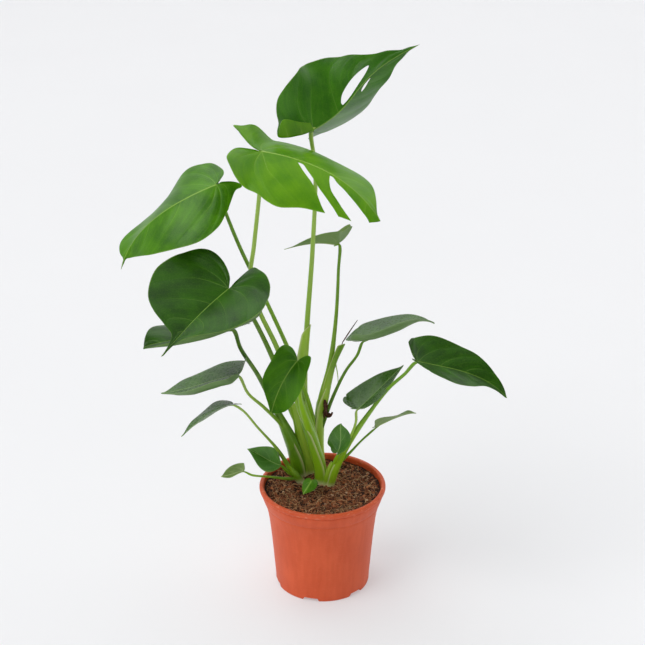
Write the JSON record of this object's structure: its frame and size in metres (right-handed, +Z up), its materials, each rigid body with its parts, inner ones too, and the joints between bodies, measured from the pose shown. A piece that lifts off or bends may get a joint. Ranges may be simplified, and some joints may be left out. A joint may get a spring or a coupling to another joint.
{
  "type": "potted monstera plant",
  "caption": "Young split-leaf houseplant with long stalks and heart-shaped blades, growing in soil in a round tapered plastic nursery pot with a rolled rim.",
  "frame": {"origin": "centre of the pot's underside, on the plane that it stands on", "axes": "+Z up along the pot's axis, -Y towards the viewer of the front view, +X to the right in it"},
  "size_m": [0.498, 0.3382, 0.7202],
  "materials": {
    "pot_plastic": "matte terracotta-coloured moulded plastic",
    "potting_soil": "loose dark potting soil with bark chips and coir fibre",
    "leaf_dark": "waxy dark green leaf",
    "leaf_mid": "waxy mid green leaf",
    "leaf_bright": "waxy young leaf, light green where light shines through",
    "stalk_green": "smooth pale green stalk",
    "dried_brown": "dry papery brown sheath"
  },
  "bodies": {
    "root": {"pot": "pot_plastic", "soil": "potting_soil", "blade_top": "leaf_dark", "blade_arching": "leaf_bright", "blade_long_left": "leaf_mid", "blade_heart": "leaf_dark", "blade_under_heart": "leaf_dark", "blade_mid_left": "leaf_dark", "blade_narrow_left": "leaf_dark", "blade_low_left": "leaf_mid", "blade_rim_left": "leaf_mid", "blade_sprout": "leaf_mid", "blade_front": "leaf_bright", "blade_upper_right": "leaf_dark", "blade_far_right": "leaf_dark", "blade_mid_right": "leaf_dark", "blade_short_right": "leaf_mid", "blade_curled_right": "leaf_mid", "blade_back": "leaf_dark", "stem_left": "stalk_green", "stem_middle": "stalk_green", "stem_tall": "stalk_green", "stem_back": "stalk_green", "stem_right": "stalk_green", "stem_seedling_left": "stalk_green", "stem_seedling_front": "stalk_green", "dried_sheath": "dried_brown"}
  },
  "joints": []
}
